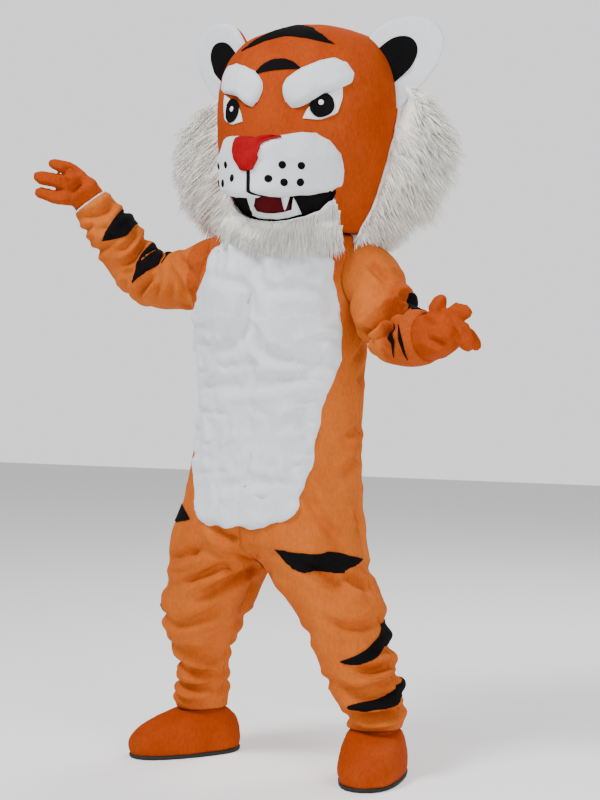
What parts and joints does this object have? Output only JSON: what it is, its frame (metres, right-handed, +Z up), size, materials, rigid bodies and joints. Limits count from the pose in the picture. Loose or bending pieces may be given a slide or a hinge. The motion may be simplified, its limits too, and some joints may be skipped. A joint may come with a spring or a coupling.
{
  "type": "tiger mascot costume",
  "caption": "Tiger mascot costume as worn: hollow plush suit with a large furred head, gloves and foot covers.",
  "frame": {"origin": "middle of the neck at the height of the wearer's shoulders, which carry the costume", "axes": "+Z up, -Y the way the costume faces, +X its left"},
  "size_m": [1.3176, 0.5429, 1.94],
  "materials": {
    "suit_plush": "short plush, matte",
    "head_plush": "short plush, matte",
    "white_plush": "short plush, matte",
    "white_felt": "felt",
    "black_felt": "felt",
    "red_plush": "short plush",
    "dark_red_felt": "felt",
    "long_fur": "long pile fur",
    "sole_rubber": "matte",
    "zip_metal": "satin"
  },
  "bodies": {
    "costume": {"back_left": "suit_plush", "back_right": "suit_plush", "belly_panel": "white_plush", "brow_left": "white_plush", "brow_right": "white_plush", "cheek_fur_left": "long_fur", "cheek_fur_right": "long_fur", "chin_fur": "long_fur", "cuff_lining_right": "white_plush", "ear_back_left": "head_plush", "ear_back_right": "head_plush", "ear_inner_left": "black_felt", "ear_inner_right": "black_felt", "ear_left": "white_plush", "ear_right": "white_plush", "eye_left": "white_felt", "eye_right": "white_felt", "fang_left": "white_felt", "fang_right": "white_felt", "foot_left_sole": "sole_rubber", "foot_left_upper": "head_plush", "foot_right_sole": "sole_rubber", "foot_right_upper": "head_plush", "front_left": "suit_plush", "front_right": "suit_plush", "glove_left": "head_plush", "glove_right": "head_plush", "head_shell": "head_plush", "lip_piping": "white_felt", "mouth_lining": "black_felt", "muzzle": "white_plush", "muzzle_line": "black_felt", "nose": "red_plush", "pupil_left": "black_felt", "pupil_right": "black_felt", "sleeve_left": "suit_plush", "sleeve_right": "suit_plush", "stripe_brow": "black_felt", "stripe_calf_right": "black_felt", "stripe_elbow_right": "black_felt", "stripe_forearm_left": "black_felt", "stripe_forearm_right": "black_felt", "stripe_forehead": "black_felt", "stripe_hip_right": "black_felt", "stripe_inner_left": "black_felt", "stripe_knee_left": "black_felt", "stripe_shin_left": "black_felt", "stripe_thigh_left": "black_felt", "stripe_upper_right": "black_felt", "stripe_wrist_left": "black_felt", "teeth_lower": "white_felt", "tongue": "dark_red_felt", "zip_slider": "zip_metal", "zip_tape": "suit_plush"},
    "zip_tab": {"zip_pull_tab": "zip_metal"}
  },
  "joints": [
    {"name": "zip_tab_hinge", "type": "hinge", "parent": "costume", "child": "zip_tab", "pos_m": [-0.01182, 0.15769, -0.075], "axis": [1, 0, 0], "range_deg": [0, 150]}
  ]
}
